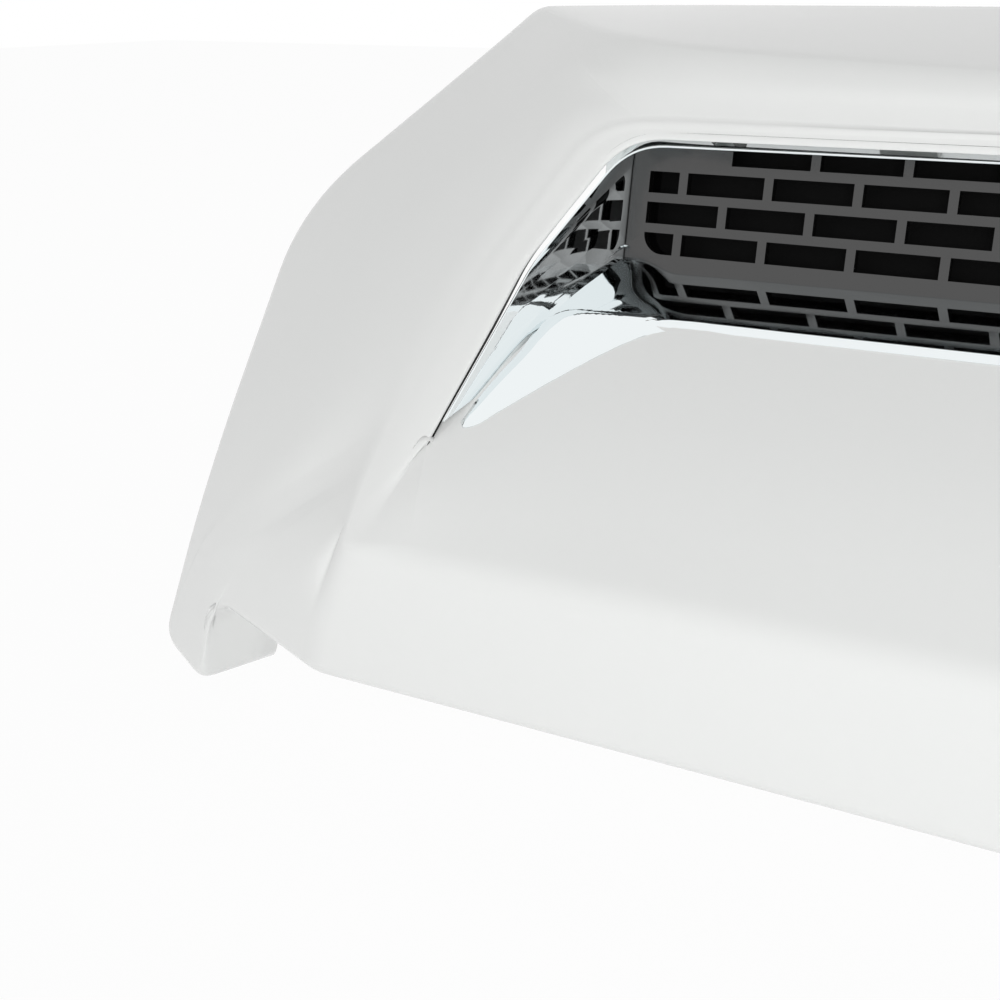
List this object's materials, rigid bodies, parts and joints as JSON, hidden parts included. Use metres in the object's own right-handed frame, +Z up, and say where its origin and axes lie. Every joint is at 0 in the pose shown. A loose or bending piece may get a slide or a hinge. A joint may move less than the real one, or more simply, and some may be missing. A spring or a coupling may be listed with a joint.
{
  "type": "hood grille trim",
  "caption": "Painted hood trim moulding with a wide recessed intake, a bright plated bezel and a black brick-pattern mesh, fixed along its top edge and under its chin.",
  "frame": {"origin": "middle of the row of mounting studs, in the plane where their towers seat on the hood", "axes": "+X across the vehicle, -Y forward (+Y along the studs into the hood), +Z up"},
  "size_m": [1.1498, 0.2019, 0.2769],
  "materials": {
    "white_paint": "gloss white paint over a moulded plastic shell",
    "bright_plating": "bright plated plastic",
    "black_plastic": "satin black",
    "screw_steel": "dark zinc",
    "stud_steel": "zinc plated",
    "natural_nylon": "natural",
    "foam": "closed-cell foam"
  },
  "bodies": {
    "root": {"outer_panel": "white_paint", "chrome_bezel": "bright_plating", "mesh_grille": "black_plastic", "grille_screws": "screw_steel", "mounting_studs": "stud_steel", "push_clips": "natural_nylon", "rear_seal": "foam"}
  },
  "joints": []
}
